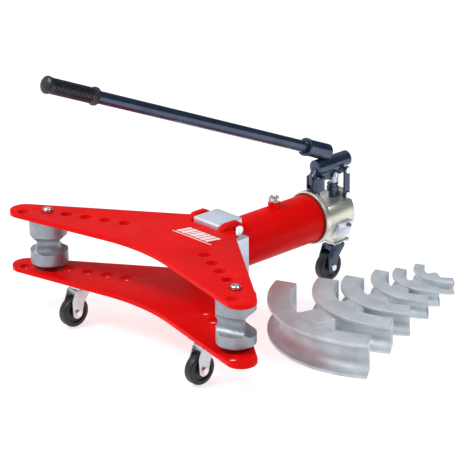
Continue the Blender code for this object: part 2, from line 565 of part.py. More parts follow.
# ---------------------------------------------------------------- the whole bender
def main():
    clear_scene()
    hinge = empty("axis_upper_plate", (0, PIVOT_Y, PIVOT_Z))
    make_plates(hinge)
    make_ears(hinge)
    make_head_block()
    make_hinge_bolt()
    make_cylinder(empty("axis_filler_plug", (0, FILLER_Y, NECK_TOP)), empty("axis_ram", (0, RAM_NOSE_Y, AXIS_Z)))
    make_pump_block()
    make_release_valve(empty("axis_release_valve", (VALVE_FACE_X, VALVE_Y, VALVE_Z)))
    make_pumps(empty("axis_large_plunger", (0, LARGE_Y, PIN_Z)), empty("axis_small_plunger", (0, SMALL_Y, PIN_Z)))
    make_lever(empty("axis_lever", (0, FULCRUM_Y, FULCRUM_Z)))
    make_link()
    make_handle(empty("axis_handle", SOCKET_MOUTH))
    for name, side in (("roller_left", -1), ("roller_right", 1)):
        make_roller(name, side, empty("axis_" + name, (side * ROLLER_XY[0], ROLLER_XY[1], AXIS_Z)))
    for place, (x, y) in CASTERS.items():
        swivel = empty("axis_swivel_" + place, (x, y, 80))
        spin = empty("axis_wheel_" + place, (x, y - TRAIL, WHEEL_R))
        make_caster(place, x, y, swivel, spin)
    for name, values in FORMERS.items():
        centre = values[5]
        make_former(name, empty("axis_" + name, (*centre, 0)), centre)


main()
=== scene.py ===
"""Looks of the hydraulic conduit bender and its six formers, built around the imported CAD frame.

Pieces are drawn in the bender's own millimetres: x = 0 is the middle of the bender, y = 0 is
at the roller axes, +Y runs back to the pump, and z = 0 is the floor.
"""
import json
import math

import bmesh
import bpy
from mathutils import Matrix, Quaternion, Vector


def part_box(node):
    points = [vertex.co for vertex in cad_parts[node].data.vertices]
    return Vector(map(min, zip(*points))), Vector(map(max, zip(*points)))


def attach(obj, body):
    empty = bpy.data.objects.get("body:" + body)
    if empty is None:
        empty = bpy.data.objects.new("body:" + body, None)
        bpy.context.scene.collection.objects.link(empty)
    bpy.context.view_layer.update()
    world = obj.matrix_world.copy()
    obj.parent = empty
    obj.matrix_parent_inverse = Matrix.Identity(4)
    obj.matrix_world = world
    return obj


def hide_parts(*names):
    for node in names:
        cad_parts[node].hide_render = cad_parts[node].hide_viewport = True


MM = 0.001
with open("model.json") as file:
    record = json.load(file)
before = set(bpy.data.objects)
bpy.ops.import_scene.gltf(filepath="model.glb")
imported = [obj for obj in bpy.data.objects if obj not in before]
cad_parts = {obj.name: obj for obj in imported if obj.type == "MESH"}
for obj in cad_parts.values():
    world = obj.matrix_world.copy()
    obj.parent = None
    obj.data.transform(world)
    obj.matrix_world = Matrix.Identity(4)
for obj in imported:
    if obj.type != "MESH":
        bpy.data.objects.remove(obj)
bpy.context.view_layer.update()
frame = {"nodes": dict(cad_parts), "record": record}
NODES = frame["nodes"]


def find_origin():
    """The bender's own origin in the row frame: mid block in x, the roller axes in y."""
    block_low, block_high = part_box("head_block")
    roller_low, roller_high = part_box("roller_right")
    return Vector(((block_low.x + block_high.x) / 2, (roller_low.y + roller_high.y) / 2, 0.0))


ORIGIN = find_origin()


def extent(node):
    """Lowest and highest corner of a CAD node, in bender millimetres."""
    low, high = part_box(node)
    return (low - ORIGIN) / MM, (high - ORIGIN) / MM


# ---------------------------------------------------------------- camera, floor and lights
LENS_MM, SENSOR_MM, FAR_CLIP_M = 167.1, 36.0, 50.0
AIM = Vector((138.7, 136.5, 246.3))
CAMERA_DISTANCE = 4274.4
AZIMUTH, ELEVATION, ROLL = (math.radians(angle) for angle in (47.215, 21.757, -0.613))
WORLD_STRENGTH, FLOOR_GLOW = 0.8, 0.72
BRIGHT_SIDE = (-0.5, -0.4, 0.77)
FLOOR_HALF_M, FLOOR_DROP_M = 40.0, 0.0002


def direction(azimuth, elevation):
    """Unit vector from the aim point outwards; azimuth 0 is in front of the rollers."""
    return Vector((math.sin(azimuth) * math.cos(elevation), -math.cos(azimuth) * math.cos(elevation),
                   math.sin(elevation)))


def add_camera():
    data = bpy.data.cameras.new("camera")
    data.lens = LENS_MM
    data.sensor_width = SENSOR_MM
    data.clip_end = FAR_CLIP_M
    camera = bpy.data.objects.new("camera", data)
    bpy.context.scene.collection.objects.link(camera)
    back = direction(AZIMUTH, ELEVATION)
    camera.location = ORIGIN + (AIM + back * CAMERA_DISTANCE) * MM
    camera.rotation_mode = "QUATERNION"
    camera.rotation_quaternion = (-back).to_track_quat("-Z", "Y") @ Quaternion((0, 0, 1), ROLL)
    bpy.context.scene.camera = camera


def add_light(name, azimuth, elevation, distance, size, watts):
    """A white disk lamp aimed at the bender; angles in degrees, distance and size in metres."""
    data = bpy.data.lights.new(name, "AREA")
    data.shape = "DISK"
    data.size = size
    data.energy = watts
    light = bpy.data.objects.new(name, data)
    bpy.context.scene.collection.objects.link(light)
    out = direction(math.radians(azimuth), math.radians(elevation))
    light.location = ORIGIN + AIM * MM + out * distance
    light.rotation_euler = (-out).to_track_quat("-Z", "Y").to_euler()


def add_world():
    """A white studio: bright above and to the left of the camera, dim low down on the right."""
    world = bpy.data.worlds.new("studio")
    bpy.context.scene.world = world
    world.use_nodes = True
    tree = world.node_tree
    where = tree.nodes.new("ShaderNodeTexCoord")
    lean = tree.nodes.new("ShaderNodeVectorMath")
    lean.operation = "DOT_PRODUCT"
    lean.inputs[1].default_value = BRIGHT_SIDE
    ramp = tree.nodes.new("ShaderNodeValToRGB")
    tree.links.new(where.outputs["Generated"], lean.inputs[0])
    tree.links.new(lean.outputs["Value"], ramp.inputs["Fac"])
    stops = ramp.color_ramp.elements
    stops[0].color = (0.05, 0.06, 0.08, 1.0)
    stops[1].color = (0.93, 0.96, 1.0, 1.0)
    stops[1].position = 0.75
    background = tree.nodes["Background"]
    tree.links.new(ramp.outputs["Color"], background.inputs["Color"])
    background.inputs["Strength"].default_value = WORLD_STRENGTH


def add_floor():
    """White paper that glows a little, so that it stays white and its shadows stay faint."""
    data = bpy.data.meshes.new("floor")
    half = FLOOR_HALF_M
    corners = [(-half, -half, 0.0), (half, -half, 0.0), (half, half, 0.0), (-half, half, 0.0)]
    drop = Vector((0, 0, FLOOR_DROP_M))
    data.from_pydata([Vector(corner) - drop for corner in corners], [], [(0, 1, 2, 3)])
    paper = bpy.data.materials.new("floor_paper")
    paper.use_nodes = True
    shader = paper.node_tree.nodes["Principled BSDF"]
    shader.inputs["Base Color"].default_value = (0.5, 0.5, 0.5, 1.0)
    shader.inputs["Roughness"].default_value = 0.9
    shader.inputs["Specular IOR Level"].default_value = 0.0
    shader.inputs["Emission Color"].default_value = (1.0, 1.0, 1.0, 1.0)
    shader.inputs["Emission Strength"].default_value = FLOOR_GLOW
    data.materials.append(paper)
    floor = bpy.data.objects.new("floor", data)
    bpy.context.scene.collection.objects.link(floor)


# ---------------------------------------------------------------- materials
class Finish:
    """One procedural material: a Principled shader fed by noise in the piece's own coordinates."""

    def __init__(self, name, colour, roughness, metallic=0.0, **constants):
        self.material = bpy.data.materials.new(name)
        self.material.use_nodes = True
        self.tree = self.material.node_tree
        self.shader = self.tree.nodes["Principled BSDF"]
        self.colour = colour
        self.shader.inputs["Base Color"].default_value = (*colour, 1.0)
        self.shader.inputs["Roughness"].default_value = roughness
        self.shader.inputs["Metallic"].default_value = metallic
        for socket, value in constants.items():
            self.shader.inputs[socket.replace("_", " ")].default_value = value
        self.where = self.tree.nodes.new("ShaderNodeTexCoord").outputs["Object"]
        self.height = None

    def node(self, kind, **inputs):
        node = self.tree.nodes.new(kind)
        for socket, value in inputs.items():
            target = node.inputs[socket.replace("_", " ")]
            if isinstance(value, bpy.types.NodeSocket):
                self.tree.links.new(value, target)
            else:
                target.default_value = value
        return node

    def noise(self, scale, detail=3.0, stretch=(1.0, 1.0, 1.0)):
        """Noise at a scale in cycles per metre, stretched along the axes with small factors."""
        mapped = self.node("ShaderNodeMapping", Vector=self.where, Scale=stretch)
        where = mapped.outputs["Vector"]
        noise = self.node("ShaderNodeTexNoise", Vector=where, Scale=scale, Detail=detail)
        return noise.outputs["Fac"]

    def spread(self, value, low, high):
        """Map the useful middle of a noise to a range."""
        mapped = self.node("ShaderNodeMapRange", Value=value, From_Min=0.3, From_Max=0.7,
                           To_Min=low, To_Max=high)
        return mapped.outputs["Result"]

    def vary_colour(self, value, dark, light):
        """Mix from a darker to a lighter version of the colour."""
        mix = self.tree.nodes.new("ShaderNodeMix")
        mix.data_type = "RGBA"
        self.tree.links.new(self.spread(value, 0.0, 1.0), mix.inputs["Factor"])
        mix.inputs["A"].default_value = (*(channel * dark for channel in self.colour), 1.0)
        mix.inputs["B"].default_value = (*(min(1.0, channel * light) for channel in self.colour), 1.0)
        self.tree.links.new(mix.outputs["Result"], self.shader.inputs["Base Color"])
        return self

    def vary_roughness(self, value, low, high):
        self.tree.links.new(self.spread(value, low, high), self.shader.inputs["Roughness"])
        return self

    def bump(self, value, depth_mm, strength=1.0):
        """Add a relief; calls stack."""
        bump = self.node("ShaderNodeBump", Height=value, Distance=depth_mm * MM, Strength=strength)
        if self.height is not None:
            self.tree.links.new(self.height, bump.inputs["Normal"])
        self.height = bump.outputs["Normal"]
        self.tree.links.new(self.height, self.shader.inputs["Normal"])
        return self


def red_paint():
    finish = Finish("red_paint", (0.74, 0.0022, 0.0018), 0.36, Specular_IOR_Level=0.07)
    finish.vary_colour(finish.noise(9.0), 0.95, 1.05)
    finish.vary_roughness(finish.noise(60.0), 0.34, 0.46)
    return finish.bump(finish.noise(300.0, 2.0), 0.012).material


def black_paint():
    finish = Finish("black_paint", (0.045, 0.068, 0.12), 0.12, 0.6, Specular_IOR_Level=1.0)
    finish.vary_colour(finish.noise(30.0), 0.8, 1.25)
    finish.vary_roughness(finish.noise(90.0), 0.09, 0.18)
    return finish.bump(finish.noise(300.0, 2.0), 0.012).material


def machined_steel():
    finish = Finish("machined_steel", (0.78, 0.84, 0.97), 0.34, 0.55)
    finish.vary_colour(finish.noise(25.0), 0.92, 1.06)
    marks = finish.noise(900.0, 2.0, (0.04, 1.0, 1.0))
    finish.vary_roughness(marks, 0.28, 0.42)
    return finish.bump(marks, 0.03).material


def caster_steel():
    finish = Finish("caster_steel", (0.62, 0.67, 0.7), 0.32, 0.9)
    finish.vary_colour(finish.noise(70.0), 0.85, 1.08)
    finish.vary_roughness(finish.noise(160.0), 0.24, 0.42)
    return finish.bump(finish.noise(700.0), 0.04).material


def cast_steel():
    finish = Finish("cast_steel", (0.31, 0.335, 0.37), 0.44, 0.6)
    finish.vary_colour(finish.noise(40.0, 4.0), 0.8, 1.12)
    finish.vary_roughness(finish.noise(120.0), 0.34, 0.52)
    finish.bump(finish.noise(260.0, 4.0), 0.25, 0.7)
    return finish.bump(finish.noise(900.0, 2.0), 0.06).material


def former_steel():
    finish = Finish("former_steel", (0.6, 0.65, 0.685), 0.44, 0.35)
    finish.vary_colour(finish.noise(28.0, 4.0), 0.84, 1.08)
    finish.vary_roughness(finish.noise(110.0), 0.38, 0.56)
    finish.bump(finish.noise(130.0, 4.0), 0.5, 0.7)
    return finish.bump(finish.noise(800.0, 3.0), 0.12).material


def zinc_plate():
    finish = Finish("zinc_plate", (0.76, 0.77, 0.66), 0.32, 0.8)
    finish.vary_colour(finish.noise(22.0), 0.86, 1.06)
    marks = finish.noise(700.0, 2.0, (1.0, 0.05, 1.0))
    finish.vary_roughness(marks, 0.26, 0.4)
    return finish.bump(marks, 0.03).material


def chrome():
    finish = Finish("chrome", (0.78, 0.78, 0.76), 0.14, 1.0)
    finish.vary_roughness(finish.noise(150.0), 0.1, 0.22)
    return finish.bump(finish.noise(600.0), 0.02).material


def spring_steel():
    finish = Finish("spring_steel", (0.2, 0.2, 0.21), 0.4, 1.0)
    finish.vary_colour(finish.noise(90.0), 0.8, 1.2)
    return finish.bump(finish.noise(900.0), 0.03).material


def rubber(name, colour, low, high):
    """A rubber whose roughness varies between two values."""
    finish = Finish(name, colour, low)
    finish.vary_colour(finish.noise(60.0), 0.8, 1.25)
    finish.vary_roughness(finish.noise(200.0), low, high)
    return finish.bump(finish.noise(1100.0, 3.0), 0.08).material


def decal_white():
    finish = Finish("decal_white", (0.92, 0.8, 0.78), 0.4)
    finish.vary_colour(finish.noise(50.0), 0.94, 1.03)
    return finish.bump(finish.noise(800.0), 0.02).material


MATERIALS = {
    "red_paint": red_paint(),
    "black_paint": black_paint(),
    "machined_steel": machined_steel(),
    "caster_steel": caster_steel(),
    "cast_steel": cast_steel(),
    "former_steel": former_steel(),
    "zinc_plate": zinc_plate(),
    "chrome": chrome(),
    "spring_steel": spring_steel(),
    "black_rubber": rubber("black_rubber", (0.02, 0.02, 0.022), 0.55, 0.7),
    "grip_rubber": rubber("grip_rubber", (0.012, 0.014, 0.019), 0.22, 0.38),
    "wheel_rubber": rubber("wheel_rubber", (0.006, 0.007, 0.010), 0.35, 0.5),
    # dark red-brown: painted shade and painted red reflection for the thin ring at the tube's end
    "painted_shade_ring": rubber("painted_shade_ring", (0.07, 0.012, 0.008), 0.4, 0.55),
    "decal_white": decal_white(),
}


# ---------------------------------------------------------------- mesh helpers
TINY = 1e-6
NEARLY_STRAIGHT = math.radians(155)


def finish_piece(name, mesh, material, body, replaces=(), sharp=32.0):
    """Turn a mesh in bender millimetres into a piece that rides on a body."""
    bmesh.ops.recalc_face_normals(mesh, faces=mesh.faces)
    mesh.transform(Matrix.Translation(ORIGIN) @ Matrix.Scale(MM, 4))
    data = bpy.data.meshes.new(name)
    mesh.to_mesh(data)
    mesh.free()
    data.shade_smooth()
    data.set_sharp_from_angle(angle=math.radians(sharp))
    data.materials.append(MATERIALS[material])
    piece = bpy.data.objects.new(name, data)
    bpy.context.scene.collection.objects.link(piece)
    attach(piece, body)
    if replaces:
        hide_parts(*replaces)
    return piece


def joined(*meshes):
    """Several meshes as one."""
    whole = bmesh.new()
    for mesh in meshes:
        copy = bpy.data.meshes.new("part")
        mesh.to_mesh(copy)
        mesh.free()
        whole.from_mesh(copy)
        bpy.data.meshes.remove(copy)
    return whole


def softened(points, radius, steps=4, closed=True):
    """Round each real corner of an outline."""
    result = []
    count = len(points)
    for index, point in enumerate(points):
        corner = Vector(point)
        before = Vector(points[index - 1]) - corner
        after = Vector(points[(index + 1) % count]) - corner
        loose_end = not closed and index in (0, count - 1)
        repeated = before.length < TINY or after.length < TINY
        if loose_end or repeated or before.angle(after) > NEARLY_STRAIGHT:
            result.append(tuple(corner))
            continue
        start = corner + before.normalized() * min(radius, before.length * 0.48)
        end = corner + after.normalized() * min(radius, after.length * 0.48)
        for step in range(steps + 1):
            share = step / steps
            bend = start * (1 - share) ** 2 + corner * 2 * share * (1 - share) + end * share ** 2
            result.append(tuple(bend))
    return result


def arc(centre, radius, start, end, steps):
    """Points round a circle, both ends included; angles in radians."""
    angles = [start + (end - start) * step / steps for step in range(steps + 1)]
    return [(centre[0] + radius * math.cos(a), centre[1] + radius * math.sin(a)) for a in angles]


def circle(centre, radius, steps=48):
    return arc(centre, radius, 0.0, 2 * math.pi * (steps - 1) / steps, steps - 1)


def turned(profile, foot, axis, steps=96, soft=0.0):
    """A solid of revolution from (radius, distance) pairs, the distances measured from foot along axis.

    A profile that starts on the axis also ends there; any other one is closed into a ring.
    """
    solid = profile[0][0] == 0.0
    if soft:
        profile = softened(profile, soft, 3, closed=not solid)
    turn = Vector((0.0, 0.0, 1.0)).rotation_difference(Vector(axis)).to_matrix()
    mesh = bmesh.new()
    rings = []
    for radius, along in profile:
        count = 1 if radius < TINY else steps
        ring = []
        for step in range(count):
            angle = 2 * math.pi * step / steps
            local = Vector((radius * math.cos(angle), radius * math.sin(angle), along))
            ring.append(mesh.verts.new(Vector(foot) + turn @ local))
        rings.append(ring)
    pairs = list(zip(rings, rings[1:]))
    if not solid:
        pairs.append((rings[-1], rings[0]))
    for first, second in pairs:
        for step in range(steps):
            after = (step + 1) % steps
            corners = [first[step % len(first)], first[after % len(first)],
                       second[after % len(second)], second[step % len(second)]]
            mesh.faces.new(list(dict.fromkeys(corners)))
    return mesh


def inset(points, amount):
    """A closed anticlockwise outline moved inwards (a clockwise one moves outwards)."""
    result = []
    count = len(points)
    for index in range(count):
        point = Vector(points[index])
        ahead = (Vector(points[(index + 1) % count]) - point).normalized()
        behind = (point - Vector(points[index - 1])).normalized()
        normals = [Vector((-d.y, d.x)) for d in (behind, ahead)]
        middle = (normals[0] + normals[1]).normalized()
        result.append(point + middle * amount / max(middle.dot(normals[0]), 0.35))
    return result


def signed_area(points):
    return sum(a[0] * b[1] - b[0] * a[1] for a, b in zip(points, points[1:] + points[:1])) / 2


def slab(outline, start, end, axis="Z", holes=(), edge=1.0, steps=3):
    """A plate with rounded rims round its outline and its holes.

    axis Z takes (x, y) outlines, X takes (y, z) and Y takes (x, z).
    """
    mesh = bmesh.new()
    loops = [outline if signed_area(outline) > 0 else outline[::-1]]
    loops += [hole if signed_area(hole) < 0 else hole[::-1] for hole in holes]
    quarter = [math.pi / 2 * step / steps for step in range(steps + 1)]
    rim = [(edge * (1 - math.sin(a)), edge * (1 - math.cos(a))) for a in quarter]
    levels = [(offset, start + rise) for offset, rise in rim]
    levels += [(offset, end - rise) for offset, rise in reversed(rim)]
    caps = ([], [])
    for loop in loops:
        rings = []
        for offset, height in levels:
            rings.append([mesh.verts.new((a, b, height)) for a, b in inset(loop, offset)])
        count = len(loop)
        for first, second in zip(rings, rings[1:]):
            for step in range(count):
                after = (step + 1) % count
                mesh.faces.new([first[step], first[after], second[after], second[step]])
        for cap, ring in zip(caps, (rings[0], rings[-1])):
            cap += [mesh.edges.get((ring[step], ring[(step + 1) % count])) for step in range(count)]
    for cap in caps:
        bmesh.ops.triangle_fill(mesh, edges=cap, use_beauty=True, normal=(0, 0, 1))
    if axis == "X":
        mesh.transform(Matrix(((0, 0, 1, 0), (1, 0, 0, 0), (0, 1, 0, 0), (0, 0, 0, 1))))
    elif axis == "Y":
        mesh.transform(Matrix(((1, 0, 0, 0), (0, 0, 1, 0), (0, 1, 0, 0), (0, 0, 0, 1))))
    return mesh


def rectangle(x0, x1, y0, y1):
    return [(x0, y0), (x1, y0), (x1, y1), (x0, y1)]


def hexagon(across, foot, axis, height, chamfer=0.8):
    """A hex head or nut with a chamfered top."""
    corner = across / math.sqrt(3)
    profile = [(0, 0), (corner, 0), (corner, height - chamfer), (corner - chamfer * 1.4, height),
               (0, height)]
    return turned(profile, foot, axis, 6)


def bead(path, radius, pitch=2.6):
    """A weld bead along a path: overlapping ripples, closed at both ends."""
    mesh = bmesh.new()
    rings = []
    travelled = 0.0
    sides = 10
    for index, point in enumerate(path):
        ahead = Vector(path[min(index + 1, len(path) - 1)]) - Vector(path[max(index - 1, 0)])
        ahead.normalize()
        if index:
            travelled += (Vector(point) - Vector(path[index - 1])).length
        side = ahead.orthogonal().normalized()
        up = ahead.cross(side)
        ripple = 0.86 + 0.14 * abs(math.sin(math.pi * travelled / pitch))
        taper = 0.45 if index in (0, len(path) - 1) else 1.0
        ring = []
        for step in range(sides):
            angle = 2 * math.pi * step / sides
            spread = (side * math.cos(angle) + up * math.sin(angle)) * radius * ripple * taper
            ring.append(mesh.verts.new(Vector(point) + spread))
        rings.append(ring)
    for first, second in zip(rings, rings[1:]):
        for step in range(sides):
            after = (step + 1) % sides
            mesh.faces.new([first[step], first[after], second[after], second[step]])
    mesh.faces.new(rings[0])
    mesh.faces.new(rings[-1])
    return mesh


def straight(start, end, step_length=0.65):
    """Evenly spaced points between two places."""
    start, end = Vector(start), Vector(end)
    count = max(2, round((end - start).length / step_length))
    return [start.lerp(end, index / count) for index in range(count + 1)]


def swept(section, middle, first_angle, last_angle, steps, edge=0.0):
    """A closed (radius, height) section swept round a vertical axis, with rounded ends."""
    section = section if signed_area(section) > 0 else section[::-1]
    reach = max(radius for radius, _ in section)
    quarter = [math.pi / 2 * step / 3 for step in range(4)] if edge else []
    rim = [(edge * (1 - math.sin(a)), edge * (1 - math.cos(a)) / reach) for a in quarter]
    turn = 1 if last_angle > first_angle else -1
    stations = [(offset, first_angle + turn * lag) for offset, lag in rim[:-1]]
    start, end = first_angle + turn * edge / reach, last_angle - turn * edge / reach
    stations += [(0.0, start + (end - start) * step / steps) for step in range(steps + 1)]
    stations += [(offset, last_angle - turn * lag) for offset, lag in reversed(rim[:-1])]
    mesh = bmesh.new()
    rings = []
    for offset, angle in stations:
        points = inset(section, offset) if offset else section
        ring = []
        for radius, z in points:
            x = middle[0] + radius * math.cos(angle)
            ring.append(mesh.verts.new((x, middle[1] + radius * math.sin(angle), z)))
        rings.append(ring)
    for first, second in zip(rings, rings[1:]):
        for index in range(len(section)):
            after = (index + 1) % len(section)
            mesh.faces.new([first[index], first[after], second[after], second[index]])
    mesh.faces.new(rings[0])
    mesh.faces.new(rings[-1])
    return mesh


def cleaned(node, width, segments=2):
    """A copy of a CAD node's own mesh with its flat faces merged and its sharp edges rounded."""
    mesh = bmesh.new()
    mesh.from_mesh(NODES[node].data)
    mesh.transform(Matrix.Scale(1 / MM, 4) @ Matrix.Translation(-ORIGIN))
    bmesh.ops.remove_doubles(mesh, verts=mesh.verts, dist=0.001)
    bmesh.ops.dissolve_limit(mesh, angle_limit=math.radians(1.0), verts=mesh.verts, edges=mesh.edges)
    corners = [edge for edge in mesh.edges if len(edge.link_faces) == 2
               and edge.calc_face_angle() > math.radians(35.0)]
    bmesh.ops.bevel(mesh, geom=corners, offset=width, segments=segments, profile=0.5, affect="EDGES",
                    clamp_overlap=True)
    return mesh


def ring_path(radius, centre, axis, count=140):
    """Points once round a circle about an axis, for a weld bead; the ends meet."""
    turn = Vector((0.0, 0.0, 1.0)).rotation_difference(Vector(axis)).to_matrix()
    angles = [2 * math.pi * step / count for step in range(count + 1)]
    flat = [Vector((radius * math.cos(a), radius * math.sin(a), 0.0)) for a in angles]
    return [Vector(centre) + turn @ point for point in flat]


# ---------------------------------------------------------------- wing plates and head
LOWER_Z, LOWER_TOP, UPPER_Z, UPPER_TOP = 92.0, 102.0, 212.0, 222.0
TIP, TIP_R = (323.0, -26.5), 30.5
PIPE_EDGE_ANGLE, BACK_EDGE_ANGLE = math.radians(12.6), math.radians(35.6)
MID_ARC_R = 426.0
HOLE_R, HOLE_FIRST, HOLES_PER_ROW, TIP_HOLE = 11.5, (119.0, 69.0), 5, (312.0, -38.0)
ROLLER = (281.0, 0.0)
BLOCK_HALF, BLOCK_Y0, BLOCK_Y1, SHOULDER_TOP = 55.0, 172.0, 247.0, 193.0
CROWN_HALF, CROWN_Y0, CROWN_Y1, CROWN_FOOT, CROWN_TOP = 37.5, 178.5, 246.5, 190.0, 230.0
PIVOT_Y, PIVOT_Z = 216.0, 215.0
EAR_X0, EAR_X1, EAR_R, EAR_FRONT, EAR_TOP = 39.0, 53.0, 17.0, 176.0, PIVOT_Z + 17.0
PLATE_RIM = 1.1
HINGE_BORE_R, RAM_BORE_R, BLOCK_BOLT_X, BLOCK_BOLT_Y = 8.4, 23.5, 38.0, 196.0
GAP = 0.3
AXIS_Z = 157.0


def mirrored(points):
    return points + [(-x, y) for x, y in reversed(points) if abs(x) > TINY]


def back_edge_y(x):
    touch = (TIP[0] + TIP_R * math.sin(BACK_EDGE_ANGLE), TIP[1] + TIP_R * math.cos(BACK_EDGE_ANGLE))
    return touch[1] + math.tan(BACK_EDGE_ANGLE) * (touch[0] - x)


def wing_half():
    """The right half of the edge that faces the pipe, and the rounded tip."""
    reach = (TIP_R + MID_ARC_R) / math.cos(PIPE_EDGE_ANGLE)
    centre_y = TIP[1] - reach + TIP[0] * math.tan(PIPE_EDGE_ANGLE)
    middle = arc((0.0, centre_y), MID_ARC_R, math.pi / 2, math.pi / 2 - PIPE_EDGE_ANGLE, 24)
    return middle + arc(TIP, TIP_R, -math.pi / 2 - PIPE_EDGE_ANGLE, math.pi / 2 - BACK_EDGE_ANGLE, 40)


def wing_holes():
    holes = []
    for side in (-1, 1):
        for step in range(HOLES_PER_ROW):
            share = step / (HOLES_PER_ROW - 1)
            x = HOLE_FIRST[0] + (ROLLER[0] - HOLE_FIRST[0]) * share
            y = HOLE_FIRST[1] + (ROLLER[1] - HOLE_FIRST[1]) * share
            holes.append(circle((side * x, y), HOLE_R))
        holes.append(circle((side * TIP_HOLE[0], TIP_HOLE[1]), HOLE_R))
    return holes


def make_plates():
    waist = BLOCK_HALF + 3.0
    lower = mirrored(wing_half() + [(waist, back_edge_y(waist)), (waist, BLOCK_Y1 - 8.0),
                                    (waist - 8.0, BLOCK_Y1)])
    finish_piece("lower_plate", slab(lower, LOWER_Z, LOWER_TOP, "Z", wing_holes(), PLATE_RIM),
                 "red_paint", "frame", ["lower_wing_plate"])
    notch = EAR_X1 + GAP
    upper = mirrored(wing_half() + [(notch, back_edge_y(notch)), (notch, EAR_FRONT - GAP),
                                    (EAR_X0, EAR_FRONT - GAP), (EAR_X0, PIVOT_Y - 42.0)])
    finish_piece("upper_plate", slab(upper, UPPER_Z, UPPER_TOP, "Z", wing_holes(), PLATE_RIM),
                 "red_paint", "upper_plate", ["upper_wing_plate"])
    outline = [(EAR_FRONT, PIVOT_Z - EAR_R),
               *arc((PIVOT_Y, PIVOT_Z), EAR_R, -math.pi / 2, math.pi / 2, 40),
               (EAR_FRONT + 14.0, EAR_TOP), (EAR_FRONT, UPPER_TOP)]
    bore = circle((PIVOT_Y, PIVOT_Z), HINGE_BORE_R)
    for name, start in (("hinge_ear_left", -EAR_X1), ("hinge_ear_right", EAR_X0)):
        ear = slab(softened(outline, 2.0), start, start + EAR_X1 - EAR_X0, "X", [bore], 1.2)
        seam_ends = [(start + along, EAR_FRONT, UPPER_TOP) for along in (1.0, 13.0)]
        seam = bead(straight(*seam_ends), 1.6)
        finish_piece(name + "_skin", joined(ear, seam), "red_paint", "upper_plate", [name])


def make_head():
    """The head block: a shoulder with the ram's bore, and a crown that the hinge bolt goes through."""
    face = rectangle(-BLOCK_HALF, BLOCK_HALF, LOWER_TOP + GAP, SHOULDER_TOP)
    bore = circle((0.0, AXIS_Z), RAM_BORE_R, 72)
    shoulder = slab(softened(face, 2.5), BLOCK_Y0, BLOCK_Y1, "Y", [bore], 2.0)
    plan = rectangle(-CROWN_HALF, CROWN_HALF, CROWN_Y0, CROWN_Y1)
    crown = slab(softened(plan, 6.0, 6), CROWN_FOOT, CROWN_TOP, "Z", (), 4.5, 5)
    finish_piece("head_skin", joined(shoulder, crown), "machined_steel", "frame", ["head_block"])
    for name, x in (("block_bolt_left", -BLOCK_BOLT_X), ("block_bolt_right", BLOCK_BOLT_X)):
        head = hexagon(15.5, (x, BLOCK_BOLT_Y, LOWER_Z - GAP), (0, 0, -1), 8.0)
        finish_piece(name + "_skin", head, "chrome", "frame", [name])
    span = EAR_X1 + GAP
    bolt = [(0, -7), (10.5, -7), (10.5, 0), (8, 0), (8, 2 * span + 9), (0, 2 * span + 9)]
    finish_piece("hinge_bolt_skin", turned(bolt, (span, PIVOT_Y, PIVOT_Z), (-1, 0, 0), 48, 0.9), "chrome",
                 "frame", ["hinge_bolt"])
    nut = hexagon(20.7, (-span, PIVOT_Y, PIVOT_Z), (-1, 0, 0), 8.0, 1.2)
    finish_piece("hinge_nut_skin", nut, "chrome", "frame", ["hinge_nut"])


# ---------------------------------------------------------------- cylinder and ram
TUBE_R, TUBE_BORE_R, TUBE_Y0, TUBE_Y1 = 51.5, 47.0, BLOCK_Y1 + GAP, 467.0
RING_R, RING_BORE_R, RING_Y1 = 58.0, 30.0, 480.0
FILLER_Y, NECK_R, NECK_BORE_R, NECK_FOOT, NECK_TOP = 370.0, 13.0, 6.5, AXIS_Z + 48.0, 219.0
SADDLE_BEAD_R = 13.6
RAM_R, RAM_HOLLOW_R, RAM_FRONT_Y, RAM_LENGTH, NOSE_LENGTH = 23.0, 14.0, 158.0, 272.0, 24.0


def knurled(radius, depth, foot, height, count=44):
    """A short drum with vertical ridges and chamfered rims, on the Z axis."""
    ridges = []
    for step in range(count * 2):
        ridge = radius - (depth if step % 2 else 0.0)
        angle = math.pi * step / count
        ridges.append((foot[0] + ridge * math.cos(angle), foot[1] + ridge * math.sin(angle)))
    return slab(ridges, foot[2], foot[2] + height, "Z", (), 0.7, 2)


def make_cylinder():
    length = TUBE_Y1 - TUBE_Y0
    wall = [(TUBE_R, 0), (TUBE_R, length), (TUBE_BORE_R, length), (TUBE_BORE_R, 0)]
    shell = turned(wall, (0, TUBE_Y0, AXIS_Z), (0, 1, 0), 144, 0.8)
    rise = NECK_TOP - NECK_FOOT
    wall = [(NECK_R, 0), (NECK_R, rise), (NECK_BORE_R, rise), (NECK_BORE_R, 0)]
    neck = turned(wall, (0, FILLER_Y, NECK_FOOT), (0, 0, 1), 64, 0.8)
    saddle = []
    steps = 120
    for step in range(steps + 1):
        angle = 2 * math.pi * step / steps
        x = SADDLE_BEAD_R * math.cos(angle)
        y = FILLER_Y + SADDLE_BEAD_R * math.sin(angle)
        saddle.append(Vector((x, y, AXIS_Z + math.sqrt(TUBE_R ** 2 - x * x))))
    finish_piece("cylinder_skin", joined(shell, neck, bead(saddle, 1.5)), "red_paint", "frame",
                 ["cylinder_tube"])
    weld = ring_path(TUBE_R + 0.4, (0, BLOCK_Y1 + 1.4, AXIS_Z), (0, 1, 0), 500)
    finish_piece("head_weld", bead(weld, 1.5), "red_paint", "frame")


